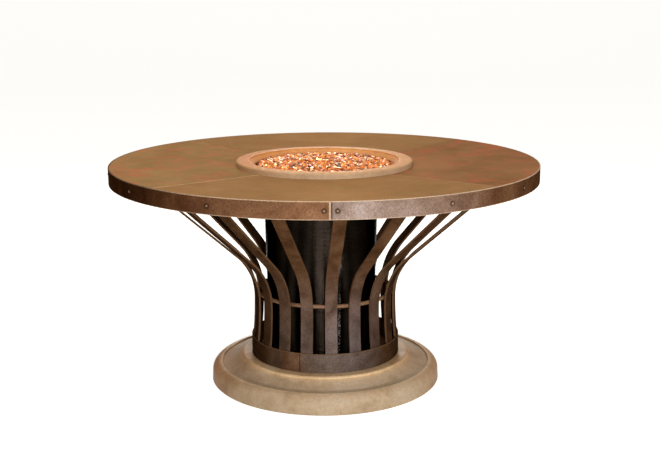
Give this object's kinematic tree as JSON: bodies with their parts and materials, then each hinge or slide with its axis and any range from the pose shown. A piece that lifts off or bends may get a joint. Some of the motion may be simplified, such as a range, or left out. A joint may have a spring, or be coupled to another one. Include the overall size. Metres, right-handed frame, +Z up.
{
  "type": "gas fire table",
  "caption": "Round outdoor gas fire table: cast concrete foot, flared basket of bent bars, round top with a metal hoop and a concrete fire bowl of amber glass.",
  "frame": {"origin": "centre of the foot's underside, on the floor", "axes": "+Z up, -Y the front of the table, +X to the right seen from the front; the controls are under the rear edge at +Y"},
  "size_m": [1.3719, 1.3742, 0.7348],
  "materials": {
    "bronze": "dark bronze powder coat, copper at the edges",
    "frame_paint": "satin black paint",
    "band": "rubbed bronze patina, bright at the edges",
    "drum": "gloss black with a fine textured surface",
    "zinc": "zinc plated steel",
    "stainless": "brushed stainless steel",
    "brass": "machined brass",
    "knob": "moulded black heat-resisting plastic",
    "button": "moulded red button",
    "hose": "black gas hose",
    "lead": "red silicone sleeve",
    "ceramic": "white ceramic with a steel wire tip",
    "amber_glass": "crushed amber reflective fire glass",
    "cast_concrete": "cast concrete stained tan, mottled, sealed",
    "deck_board": "exterior plywood with a dark sealed face",
    "panel": "stained concrete panel, reddish tan mottle, satin sealer"
  },
  "bodies": {
    "table": {"anchor_bolts": "zinc", "band_screws": "band", "base_casting": "cast_concrete", "base_ring": "bronze", "bowl_frame": "frame_paint", "burner_feed": "brass", "burner_hose": "hose", "burner_nut": "brass", "burner_pan": "stainless", "burner_ring": "stainless", "control_bracket": "frame_paint", "edge_band": "band", "fire_bowl": "cast_concrete", "fire_glass": "amber_glass", "fixing_screws": "zinc", "frame_screws": "zinc", "gas_supply_hose": "hose", "gas_valve": "brass", "hose_bracket": "zinc", "igniter_housing": "knob", "ignition_lead": "lead", "inlet_bracket": "zinc", "inlet_fitting": "brass", "liner_drum": "drum", "panel_nuts": "zinc", "spark_electrode": "ceramic", "strap_01": "bronze", "strap_02": "bronze", "strap_03": "bronze", "strap_04": "bronze", "strap_05": "bronze", "strap_06": "bronze", "strap_07": "bronze", "strap_08": "bronze", "strap_09": "bronze", "strap_10": "bronze", "strap_11": "bronze", "strap_12": "bronze", "strap_13": "bronze", "strap_14": "bronze", "strap_15": "bronze", "strap_16": "bronze", "strap_17": "bronze", "strap_18": "bronze", "strap_19": "bronze", "support_board": "deck_board", "top_panel_front": "panel", "top_panel_left": "panel", "top_panel_rear": "panel", "top_panel_right": "panel", "top_ring": "frame_paint", "waist_ring": "bronze"},
    "valve_knob": {"control_knob": "knob", "valve_stem": "stainless"},
    "igniter_push": {"igniter_button": "button"}
  },
  "joints": [
    {"name": "valve_turn", "type": "hinge", "parent": "table", "child": "valve_knob", "pos_m": [-0.055, 0.64, 0.65], "axis": [0, -1, 0], "range_deg": [0, 90]},
    {"name": "igniter_press", "type": "slide", "parent": "table", "child": "igniter_push", "axis": [0, -1, 0], "range_m": [0, 0.004], "stiffness_N_per_m": 900, "springref_m": -0.002}
  ]
}
